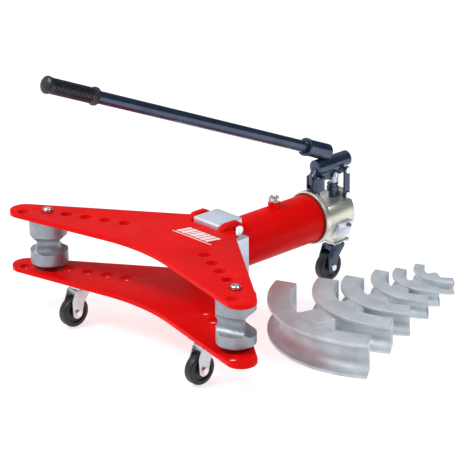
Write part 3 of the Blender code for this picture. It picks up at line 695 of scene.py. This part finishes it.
def make_filler_plug():
    foot = (0, FILLER_Y, NECK_TOP)
    shaft = turned([(0, -8.5), (6, -8.5), (6, 1), (0, 1)], foot, (0, 0, 1), 32)
    collar = turned([(0, GAP), (9, GAP), (10.6, 2), (10.6, 3), (0, 3)], foot, (0, 0, 1), 48)
    cap = knurled(11.0, 0.7, (0, FILLER_Y, NECK_TOP + 2.5), 9.0)
    crown = [(0, 11), (9.6, 11), (9.2, 12.6), (5, 13), (4.4, 12.2), (0, 12.2)]
    finish_piece("filler_plug_skin", joined(shaft, collar, cap, turned(crown, foot, (0, 0, 1), 48)),
                 "chrome", "plug", ["filler_plug"])


def make_flange():
    """The wider ring between cylinder and pump block, with a thin dark red-brown ring in front of it
    whose colour is painted shade and painted red reflection at the tube's end.
    """
    length = RING_Y1 - TUBE_Y1 - GAP
    ring = [(RING_R, 0), (RING_R, length), (RING_BORE_R, length), (RING_BORE_R, 0)]
    foot = (0, TUBE_Y1 + GAP, AXIS_Z)
    finish_piece("cylinder_flange_skin", turned(ring, foot, (0, 1, 0), 144, 1.3), "zinc_plate", "frame",
                 ["cylinder_flange"])
    # The dark red-brown colour of this thin ring is painted shade and painted red reflection in the gap
    # at the tube's end.
    shade_ring_profile = [(TUBE_R - 1, -2.2), (TUBE_R + 2.4, -2.2), (TUBE_R + 3.2, -1.2), (TUBE_R + 3.2, 0.4),
            (TUBE_R - 1, 0.4)]
    finish_piece("cylinder_shade_ring", turned(shade_ring_profile, foot, (0, 1, 0), 144, 0.3), "painted_shade_ring", "frame")


def make_ram():
    """The hollow ram, open at the back, and the nose that a former sits on."""
    ram = [(0, 0), (RAM_R - 2, 0), (RAM_R, 2), (RAM_R, RAM_LENGTH), (RAM_HOLLOW_R, RAM_LENGTH),
           (RAM_HOLLOW_R, 16), (0, 16)]
    finish_piece("ram_skin", turned(ram, (0, RAM_FRONT_Y, AXIS_Z), (0, 1, 0), 96, 0.5), "chrome",
                 "ram_assembly", ["ram"])
    nose = [(0, 0), (8, 0), (9, 1), (9, 18), (16, 18), (16, NOSE_LENGTH), (0, NOSE_LENGTH)]
    foot = (0, RAM_FRONT_Y - GAP - NOSE_LENGTH, AXIS_Z)
    finish_piece("ram_nose_skin", turned(nose, foot, (0, 1, 0), 64, 0.5), "machined_steel",
                 "ram_assembly", ["ram_nose"])


# ---------------------------------------------------------------- pump
PUMP_FLAT_Z = 187.0
LARGE_Y, SMALL_Y, FULCRUM_Y = 490.0, 541.0, 562.0
FULCRUM_Z, PIN_Z, LINK_FOOT_Z = 246.0, 236.0, 190.0
LEVER_R, LEVER_Z, LEVER_Y0, LEVER_Y1 = 16.5, 263.0, 488.0, 582.0
BARREL_FOOT_Z, BARREL_TOP_Z, GUARD_TOP_Z = PUMP_FLAT_Z + GAP, 215.2, 243.3
GUARD_R, GUARD_BORE_R, GUARD_SLOT_HALF = 19.3, 16.0, 7.5
SMALL_BARREL_HEIGHT = 12
LINK_X0, LINK_X1, LINK_END_R = 18.0, 23.0, 8


def make_block():
    for name, width in (("pump_block", 1.2), ("rear_caster_pad", 0.8), ("release_valve_housing", 1.0)):
        slot = "machined_steel" if name == "release_valve_housing" else "zinc_plate"
        finish_piece(name + "_skin", cleaned(name, width), slot, "frame", [name])
    screw = [(0, 0), (4.5, 0), (4.5, 4.5), (3.7, 5.3), (2.2, 5.3), (2.2, 2.5), (0, 2.5)]
    low, high = extent("release_valve_screw")
    foot = (low.x, (low.y + high.y) / 2, (low.z + high.z) / 2)
    finish_piece("release_screw_skin", turned(screw, foot, (1, 0, 0), 40, 0.3), "spring_steel",
                 "release_valve", ["release_valve_screw"])


def make_pumps():
    rise = BARREL_TOP_Z - BARREL_FOOT_Z
    barrel = [(9.5, 0), (9.5, rise), (6.8, rise), (6.8, 0)]
    finish_piece("large_barrel_skin", turned(barrel, (0, LARGE_Y, BARREL_FOOT_Z), (0, 0, 1), 48, 0.6),
                 "black_paint", "frame", ["large_pump_barrel"])
    cup_foot = BARREL_TOP_Z + GAP
    base = [(GUARD_R, 0), (GUARD_R, 6), (GUARD_BORE_R, 6), (GUARD_BORE_R, 2.7), (6.8, 2.7), (6.8, 0)]
    cup = turned(base, (0, LARGE_Y, cup_foot), (0, 0, 1), 96, 0.5)
    wall = rectangle(GUARD_BORE_R, GUARD_R, cup_foot + 5.5, GUARD_TOP_Z)
    reach = math.pi / 2 - math.asin(GUARD_SLOT_HALF / 17.6)
    walls = []
    for middle in (0.0, math.pi):
        walls.append(swept(wall, (0, LARGE_Y), middle - reach, middle + reach, 40, 0.5))
    finish_piece("large_guard_skin", joined(cup, *walls), "black_paint", "frame", ["large_pump_guard"])

    barrel = [(9, 0), (9, SMALL_BARREL_HEIGHT), (5.4, SMALL_BARREL_HEIGHT), (5.4, 0)]
    finish_piece("small_barrel_skin", turned(barrel, (0, SMALL_Y, BARREL_FOOT_Z), (0, 0, 1), 48, 0.6),
                 "black_paint", "frame", ["small_pump_barrel"])
    gland = [(11.6, 0), (13.2, 1.4), (13.2, 10), (11.2, 11.5), (11.2, 14), (12.4, 15), (12.4, 17),
             (11.4, 18), (5.4, 18), (5.4, 0)]
    gland_foot = (0, SMALL_Y, BARREL_FOOT_Z + SMALL_BARREL_HEIGHT + GAP)
    finish_piece("small_gland_skin", turned(gland, gland_foot, (0, 0, 1), 48, 0.3), "black_paint",
                 "frame", ["small_pump_gland_nut"])
    for name, body in (("large_plunger", "large_plunger_body"), ("small_plunger", "small_plunger_body")):
        finish_piece(name + "_skin", cleaned(name, 0.6), "machined_steel", body, [name])
        low, high = extent(name + "_pin")
        profile = [(0, 0), (4, 0), (4, 26), (0, 26)]
        middle = ((low.y + high.y) / 2, (low.z + high.z) / 2)
        pin = turned(profile, (low.x, *middle), (1, 0, 0), 32, 0.8)
        finish_piece(name + "_pin_skin", pin, "chrome", body, [name + "_pin"])


def slot_outline(centre, half_length, radius):
    y, z = centre
    right = arc((y + half_length, z), radius, -math.pi / 2, math.pi / 2, 20)
    return right + arc((y - half_length, z), radius, math.pi / 2, 3 * math.pi / 2, 20)


def make_lever():
    length = LEVER_Y1 - LEVER_Y0
    profile = [(0, 0), (LEVER_R, 0), (LEVER_R, length), (0, length)]
    drum = turned(profile, (0, LEVER_Y0, LEVER_Z), (0, 1, 0), 96, 2.2)
    web = [(LARGE_Y - 15, PIN_Z - 7.5), (FULCRUM_Y + 9, PIN_Z - 1), (FULCRUM_Y + 9, LEVER_Z),
           (LARGE_Y - 3, LEVER_Z), (LARGE_Y - 15, LEVER_Z - 14)]
    slots = [slot_outline((LARGE_Y - 3.6, PIN_Z), 4.2, 5.7),
             slot_outline((SMALL_Y + 1.0, PIN_Z + 0.5), 1.3, 5.0),
             circle((FULCRUM_Y, FULCRUM_Z), 5.5)]
    plate = slab(web, -5.5, 5.5, "X", slots, 0.25, 2)
    finish_piece("lever_skin", joined(drum, plate), "black_paint", "lever", ["pump_lever"])

    cup = [(0, 0), (13, 0), (18, 6), (18, 69), (19.2, 69), (19.2, 76), (13, 76), (13, 14), (0, 14)]
    foot = SOCKET_MOUTH - HANDLE_DIR * 76.0
    finish_piece("handle_socket_skin", turned(cup, foot, HANDLE_DIR, 96, 1.2), "black_paint", "lever",
                 ["handle_socket"])
    for side in (-1, 1):
        outline = arc((FULCRUM_Y, FULCRUM_Z), LINK_END_R, 0, math.pi, 30)
        outline += arc((FULCRUM_Y, LINK_FOOT_Z), LINK_END_R, math.pi, 2 * math.pi, 30)
        bores = [circle((FULCRUM_Y, z), 5.3, 32) for z in (FULCRUM_Z, LINK_FOOT_Z)]
        start = LINK_X0 if side > 0 else -LINK_X1
        name = "link_plate_right" if side > 0 else "link_plate_left"
        link = slab(outline, start, start + LINK_X1 - LINK_X0, "X", bores, 0.7)
        finish_piece(name + "_skin", link, "black_paint", "frame", [name])
    for name, z in (("fulcrum_pin", FULCRUM_Z), ("link_foot_pin", LINK_FOOT_Z)):
        pin = [(0, 0), (7, 0), (7, 3.5), (5, 3.5), (5, 52), (0, 52)]
        foot = (LINK_X1 + GAP + 3.5, FULCRUM_Y, z)
        finish_piece(name + "_skin", turned(pin, foot, (-1, 0, 0), 48, 0.7), "chrome", "frame", [name])


HANDLE_ANGLE = math.radians(23.2)
SOCKET_MOUTH = Vector((0.0, 458.0, 317.8))
HANDLE_DIR = Vector((0.0, -math.cos(HANDLE_ANGLE), math.sin(HANDLE_ANGLE)))
HANDLE_R, HANDLE_BORE_R, HANDLE_IN, HANDLE_OUT = 12.5, 10.0, 60.0, 722.0
GRIP_LENGTH, GRIP_RIBS, GRIP_OVERHANG = 127.0, 17, 4.0


def make_handle():
    length = HANDLE_IN + HANDLE_OUT
    wall = [(HANDLE_R, 0), (HANDLE_R, length), (HANDLE_BORE_R, length), (HANDLE_BORE_R, 0)]
    foot = SOCKET_MOUTH - HANDLE_DIR * HANDLE_IN
    finish_piece("handle_skin", turned(wall, foot, HANDLE_DIR, 64, 0.6), "black_paint", "handle",
                 ["handle_tube"])
    mouth = SOCKET_MOUTH + HANDLE_DIR * (HANDLE_OUT + GRIP_OVERHANG - GRIP_LENGTH)
    profile = [(0, GRIP_LENGTH), (12.5, GRIP_LENGTH), (15.6, GRIP_LENGTH - 2.5), (17, GRIP_LENGTH - 4),
               (17, GRIP_LENGTH - 8), (15.2, GRIP_LENGTH - 10)]
    pitch = (GRIP_LENGTH - 24.0) / GRIP_RIBS
    for rib in range(GRIP_RIBS):
        top = GRIP_LENGTH - 12.0 - rib * pitch
        profile += [(15.5, top), (15.5, top - pitch * 0.55), (14.2, top - pitch * 0.7),
                    (14.2, top - pitch * 0.95)]
    profile += [(15.2, 10), (15.4, 7), (18, 4.5), (18, 0.8), (17, 0), (12.8, 0),
                (12.8, GRIP_LENGTH - 3.4), (0, GRIP_LENGTH - 3.4)]
    finish_piece("handle_grip_skin", turned(profile, mouth, HANDLE_DIR, 96), "grip_rubber", "handle",
                 ["handle_grip"], 40.0)


# ---------------------------------------------------------------- rollers
DRUM_R = 39.0
TRUNNION_R = 9.5
# each saddle: its direction in degrees, its radius, and how far its axis lies from the drum's axis
SADDLES = {
    "left": ((47.0, 17.0, 38.0), (317.0, 18.0, 39.0), (227.0, 16.0, 38.0), (137.0, 28.0, 41.0)),
    "right": ((47.0, 24.0, 35.0), (289.0, 20.0, 38.0), (165.0, 26.0, 41.0)),
}
BOSS_HEIGHT = 9.0


def soft_minimum(first, second, width):
    """The smaller of two lengths, blended where they are close."""
    share = max(0.0, min(1.0, 0.5 + (first - second) / (2 * width)))
    return first * (1 - share) + second * share - width * share * (1 - share)


def make_roller(side, sign):
    """A forged drum whose saddles are cylinders cut square across it; their rims are blended."""
    foot, top = LOWER_TOP + 1.0, UPPER_Z - 1.0
    drum_foot = foot + BOSS_HEIGHT
    boss = [(16.0, foot), (16.0, drum_foot), (DRUM_R, drum_foot)]
    rows = [(0.0, foot), *softened(boss, 1.5, 3, False)[:-1]]
    rows += [(22.0, drum_foot), (30.0, drum_foot), (36.0, drum_foot)]
    rows += arc((DRUM_R - 3, drum_foot + 3), 3.0, -math.pi / 2, 0.0, 6)
    count = 110
    rows += [(DRUM_R, drum_foot + 3 + (top - drum_foot - 6) * step / count) for step in range(1, count)]
    rows += arc((DRUM_R - 3, top - 3), 3.0, 0.0, math.pi / 2, 6)
    rows += [(34.0, top), (26.0, top), (18.0, top), (0.0, top)]
    centre = (sign * ROLLER[0], ROLLER[1])
    columns = 200
    mesh = bmesh.new()
    rings = []
    for radius, z in rows:
        if radius == 0.0:
            rings.append([mesh.verts.new((*centre, z))])
            continue
        ring = []
        for step in range(columns):
            angle = 2 * math.pi * step / columns
            reach = radius
            for degrees, saddle, middle in SADDLES[side]:
                away = math.cos(angle - math.radians(degrees))
                rise = z - AXIS_Z
                if away > 0.15 and abs(rise) < saddle:
                    cut = (middle - math.sqrt(saddle ** 2 - rise ** 2)) / away
                    reach = soft_minimum(reach, cut, 1.2)
            x = centre[0] + reach * math.cos(angle)
            ring.append(mesh.verts.new((x, centre[1] + reach * math.sin(angle), z)))
        rings.append(ring)
    for first, second in zip(rings, rings[1:]):
        for step in range(columns):
            after = (step + 1) % columns
            corners = [first[step % len(first)], first[after % len(first)],
                       second[after % len(second)], second[step % len(second)]]
            mesh.faces.new(list(dict.fromkeys(corners)))
    stub = [(0, LOWER_Z + 1), (TRUNNION_R, LOWER_Z + 1), (TRUNNION_R, foot + 1), (0, foot + 1)]
    lower_pin = turned(stub, (*centre, 0), (0, 0, 1), 48, 0.8)
    finish_piece("roller_skin_" + side, joined(mesh, lower_pin), "cast_steel", side + "_roller",
                 ["roller_" + side], 50.0)
    pin = [(0, top - 1), (TRUNNION_R, top - 1), (TRUNNION_R, UPPER_TOP + 4.8), (7.6, UPPER_TOP + 7),
           (2.4, UPPER_TOP + 7), (0, UPPER_TOP + 5.2)]
    finish_piece("roller_pin_" + side, turned(pin, (*centre, 0), (0, 0, 1), 48, 0.5), "chrome",
                 side + "_roller")
    ring = [(9.3, UPPER_TOP + 0.3), (11, UPPER_TOP + 0.3), (11, UPPER_TOP + 1.7), (9.3, UPPER_TOP + 1.7)]
    finish_piece("roller_snap_ring_" + side, turned(ring, (*centre, 0), (0, 0, 1), 48, 0.2),
                 "spring_steel", side + "_roller")


# ---------------------------------------------------------------- casters
WHEEL_R, WHEEL_HALF, TRAIL = 31.75, 10.0, 16.0
FORK_HALF, FORK_WALL, FORK_TOP, CASTER_PLATE_Z = 15, 3.0, 80.0, 88.7
# place: where the swivel axis stands
CASTERS = {"left": (-191.0, 2.0), "right": (191.0, 2.0), "rear": (0.0, 545.0)}


def make_caster(place, x, y):
    steel = "black_paint" if place == "rear" else "caster_steel"
    plan = softened(rectangle(x - 26, x + 26, y - 24, y + 24), 4, 4)
    base = slab(plan, CASTER_PLATE_Z, LOWER_Z - GAP, "Z", (), 0.8)
    bearing = [(0, 80.3), (15, 80.3), (19, 83), (19, 86.5), (17, 89), (0, 89)]
    race = turned(bearing, (x, y, 0), (0, 0, 1), 64, 0.8)
    rivet = [(0, 85.6), (3.6, 85.6), (4.6, 87), (4.6, CASTER_PLATE_Z), (0, CASTER_PLATE_Z)]
    parts = [base, race]
    for dx in (-20.5, 20.5):
        for dy in (-18.5, 18.5):
            parts.append(turned(rivet, (x + dx, y + dy, 0), (0, 0, 1), 24))
    finish_piece("caster_plate_skin_" + place, joined(*parts), "caster_steel", "frame",
                 ["caster_plate_" + place])

    axle_y, crown = y - TRAIL, FORK_TOP
    outline = [(y + 19, crown), (y - 19, crown), (axle_y - 13, 56),
               *arc((axle_y, WHEEL_R), 12, math.pi, 2 * math.pi, 30), (y + 1, 52), (y + 19, 73)]
    hole = circle((axle_y, WHEEL_R), 4.3, 32)
    cheeks = [slab(softened(outline, 3.0), start, start + FORK_WALL, "X", [hole], 0.7)
              for start in (x - FORK_HALF, x + FORK_HALF - FORK_WALL)]
    top = softened(rectangle(x - 14.5, x + 14.5, y - 18.5, y + 18.5), 2)
    arch = slab(top, crown - FORK_WALL, crown, "Z", (), 0.7)
    nut = [(0, crown - 4.5), (9, crown - 4.5), (10, crown - 3), (0, crown - 3)]
    dome = turned(nut, (x, y, 0), (0, 0, 1), 40)
    finish_piece("caster_fork_skin_" + place, joined(*cheeks, arch, dome), steel, place + "_caster",
                 ["caster_fork_" + place])

    axle = [(0, 0), (7, 0), (7, 4), (4, 4), (4, 40), (0, 40)]
    spindle = turned(axle, (x + FORK_HALF + GAP + 4, axle_y, WHEEL_R), (-1, 0, 0), 6)
    finish_piece("caster_axle_skin_" + place, spindle, "chrome", place + "_caster",
                 ["caster_axle_" + place])

    half = WHEEL_HALF
    tyre = [(22, -half), (29, -half), (WHEEL_R - 0.9, -half + 1.2), (WHEEL_R, -half + 4),
            (WHEEL_R, half - 4), (WHEEL_R - 0.9, half - 1.2), (29, half), (22, half)]
    hub = [(4.4, -half), (9, -half), (9.6, -half + 3), (20, -half + 3.4), (23, -half + 1), (23, half - 1),
           (20, half - 3.4), (9.6, half - 3), (9, half), (4.4, half)]
    foot = (x, axle_y, WHEEL_R)
    wheel = joined(turned(tyre, foot, (1, 0, 0), 128, 0.9), turned(hub, foot, (1, 0, 0), 96, 0.5))
    finish_piece("caster_wheel_skin_" + place, wheel, "wheel_rubber", place + "_wheel",
                 ["caster_wheel_" + place])


# ---------------------------------------------------------------- formers
# the seat block's half width as a share of the outer radius, its flare as a share of that half width,
# and its foot and top as shares of the height
SEAT_HALF_SHARE, SEAT_FLARE_SHARE, SEAT_FOOT_SHARE, SEAT_TOP_SHARE = 0.14, 0.45, 0.12, 0.88
# each former: pipe diameter, outer radius, radial width, height, reach of the seat block, its centre,
# and the directions of its two ends in degrees
FORMERS = {
    "former_2_inch": (60.3, 234.0, 46.0, 74.0, 60.0, (266.0, 418.0), (-54.0, -157.0)),
    "former_1_1-2_inch": (48.3, 184.0, 46.0, 60.0, 33.0, (247.0, 494.0), (-54.0, -157.0)),
    "former_1_1-4_inch": (42.4, 141.0, 42.0, 52.0, 36.0, (227.0, 537.0), (-46.0, -158.0)),
    "former_1_inch": (33.7, 118.0, 32.0, 42.0, 30.0, (212.0, 609.0), (-46.0, -160.0)),
    "former_3-4_inch": (26.9, 90.0, 26.0, 36.0, 23.0, (199.0, 648.0), (-41.0, -160.0)),
    "former_1-2_inch": (21.3, 72.0, 22.0, 31.0, 19.0, (187.0, 700.0), (-35.0, -158.0)),
}


def make_former(name, pipe, outer, width, height, reach, centre, ends):
    """A cast arc with a half-round groove outside and a flared seat for the ram inside."""
    first_angle, last_angle = math.radians(ends[0]), math.radians(ends[1])
    inner = outer - width
    soft = min(2.0, (height - pipe) / 4)
    groove = arc((outer, height / 2), pipe / 2, math.pi / 2, 3 * math.pi / 2, 40)
    rims = softened([groove[-1], (outer, 0.0), (inner, 0.0), (inner, height), (outer, height), groove[0]],
                    soft, 4, False)
    section = groove + rims[1:-1]
    arch = swept(section, centre, first_angle, last_angle, 90, soft)

    middle = (first_angle + last_angle) / 2
    half = SEAT_HALF_SHARE * outer
    mouth = inner - reach
    flare = half * SEAT_FLARE_SHARE
    seat = [(mouth, -half), (inner - flare, -half), (inner + 3, -half - flare), (inner + 3, half + flare),
            (inner - flare, half), (mouth, half)]
    block = slab(softened(seat, 4.0, 5), SEAT_FOOT_SHARE * height, SEAT_TOP_SHARE * height, "Z", (), 2.0)
    lip = [(9.4, -1.0), (13.0, -1.0), (13.0, 1.0), (9.4, 1.0)]
    rim = turned(lip, (mouth, 0.0, height / 2), (1, 0, 0), 48, 0.5)
    for part in (block, rim):
        part.transform(Matrix.Translation((*centre, 0.0)) @ Matrix.Rotation(middle, 4, "Z"))
    finish_piece(name + "_skin", joined(arch, block, rim), "former_steel", name + "_body", [name])


# ---------------------------------------------------------------- plain markings
BAR_WIDTHS, BAR_GAP, BAR_LEAN = (9.0, 12.0, 6.0, 12.0, 9.0, 12.0, 9.0), 3.4, 9.0
BARS_X, BARS_Y0, BARS_Y1, BARS_SLOPE = -18.0, 117.0, 147.0, 0.02
PAINT_Z0, PAINT_Z1 = UPPER_TOP - 0.5, UPPER_TOP + 0.15


def make_marking():
    """A row of plain slanted bars with a line under it, painted on the upper plate."""
    parts = []
    x = BARS_X
    for width in BAR_WIDTHS:
        lower, upper = BARS_Y0 + BARS_SLOPE * x, BARS_Y1 + BARS_SLOPE * x
        bar = [(x, lower), (x + width, lower), (x + width + BAR_LEAN, upper), (x + BAR_LEAN, upper)]
        parts.append(slab(bar, PAINT_Z0, PAINT_Z1, "Z", (), 0.05, 1))
        x += width + BAR_GAP
    line = [(-23.0, 110.0), (88.0, 112.0), (89.5, 114.5), (-22.0, 112.6)]
    parts.append(slab(line, PAINT_Z0, PAINT_Z1, "Z", (), 0.05, 1))
    finish_piece("plain_marking", joined(*parts), "decal_white", "upper_plate")


# ---------------------------------------------------------------- finishing the scene
def paint_cad_nodes():
    slots = {entry["node"]: entry["material_slot"] for entry in frame["record"]["subparts"]}
    for name, node in NODES.items():
        node.data.materials.clear()
        node.data.materials.append(MATERIALS[slots[name]])


def main():
    bpy.context.scene.view_settings.view_transform = "Standard"
    add_camera()
    add_world()
    add_floor()
    add_light("key", -26.0, 50.0, 3.8, 1.1, 66.0)
    add_light("side", 108.0, 44.0, 4.2, 1.4, 64.0)
    paint_cad_nodes()
    make_plates()
    make_head()
    make_cylinder()
    make_filler_plug()
    make_flange()
    make_ram()
    make_block()
    make_pumps()
    make_lever()
    make_handle()
    make_roller("left", -1)
    make_roller("right", 1)
    for place, spot in CASTERS.items():
        make_caster(place, *spot)
    for name, values in FORMERS.items():
        make_former(name, *values)
    make_marking()


main()
